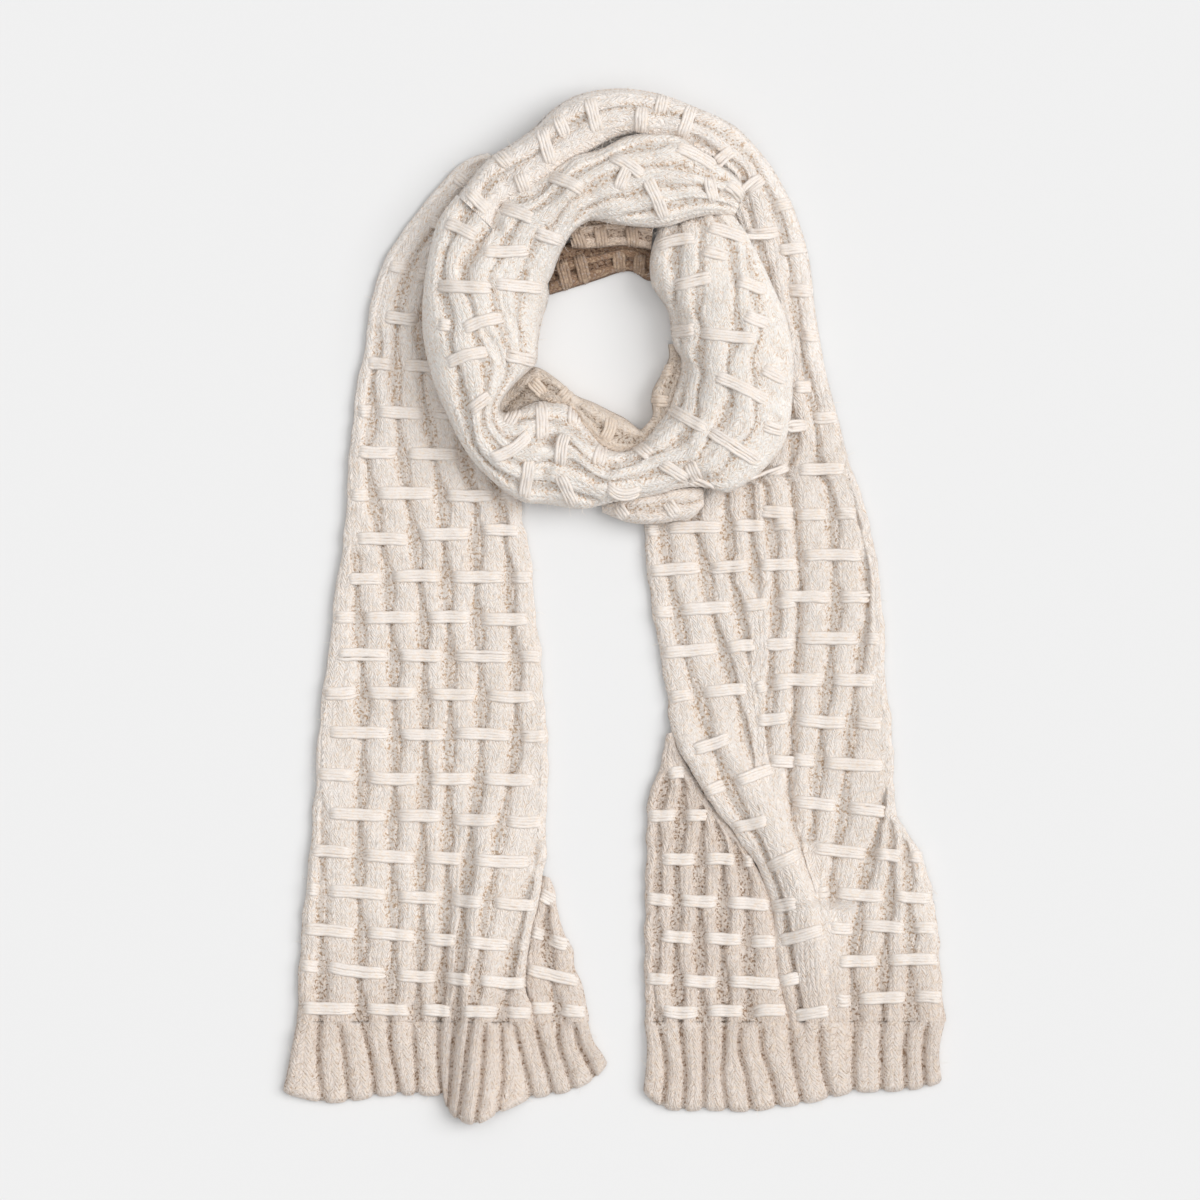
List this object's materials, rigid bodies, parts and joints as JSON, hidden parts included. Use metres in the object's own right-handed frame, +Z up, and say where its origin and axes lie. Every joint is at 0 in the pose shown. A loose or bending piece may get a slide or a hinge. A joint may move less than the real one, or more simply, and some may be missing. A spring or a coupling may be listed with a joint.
{
  "type": "knitted scarf",
  "caption": "Chunky knitted scarf with a woven-looking float pattern and ribbed ends, wound into a neck loop with its tails lying flat.",
  "frame": {"origin": "centre of the bounding box's underside, on the surface that the scarf lies on", "axes": "+Y runs from the tails' ends towards the neck loop, +X is to the right in the picture, +Z is up from the surface"},
  "size_m": [0.4499, 0.7053, 0.052],
  "materials": {
    "body_wool": "matt heathered oatmeal yarn, knitted in ribs with pale float bars across them",
    "hem_wool": "matt heathered oatmeal yarn, knitted in deep ribbing",
    "inner_wool": "the same matt yarn on the layers inside the loop"
  },
  "bodies": {
    "root": {"left_tail": "body_wool", "left_tail_under": "body_wool", "left_hem": "hem_wool", "right_tail_inner": "body_wool", "right_tail_under": "body_wool", "right_tail_outer": "body_wool", "right_hem": "hem_wool", "left_side": "body_wool", "right_side": "body_wool", "outer_arc": "body_wool", "inner_fold": "body_wool", "left_limb": "body_wool", "front_band": "body_wool", "right_limb": "body_wool", "inner_layer": "inner_wool", "front_flap": "inner_wool", "neck_low": "inner_wool", "neck_mid": "inner_wool"}
  },
  "joints": []
}
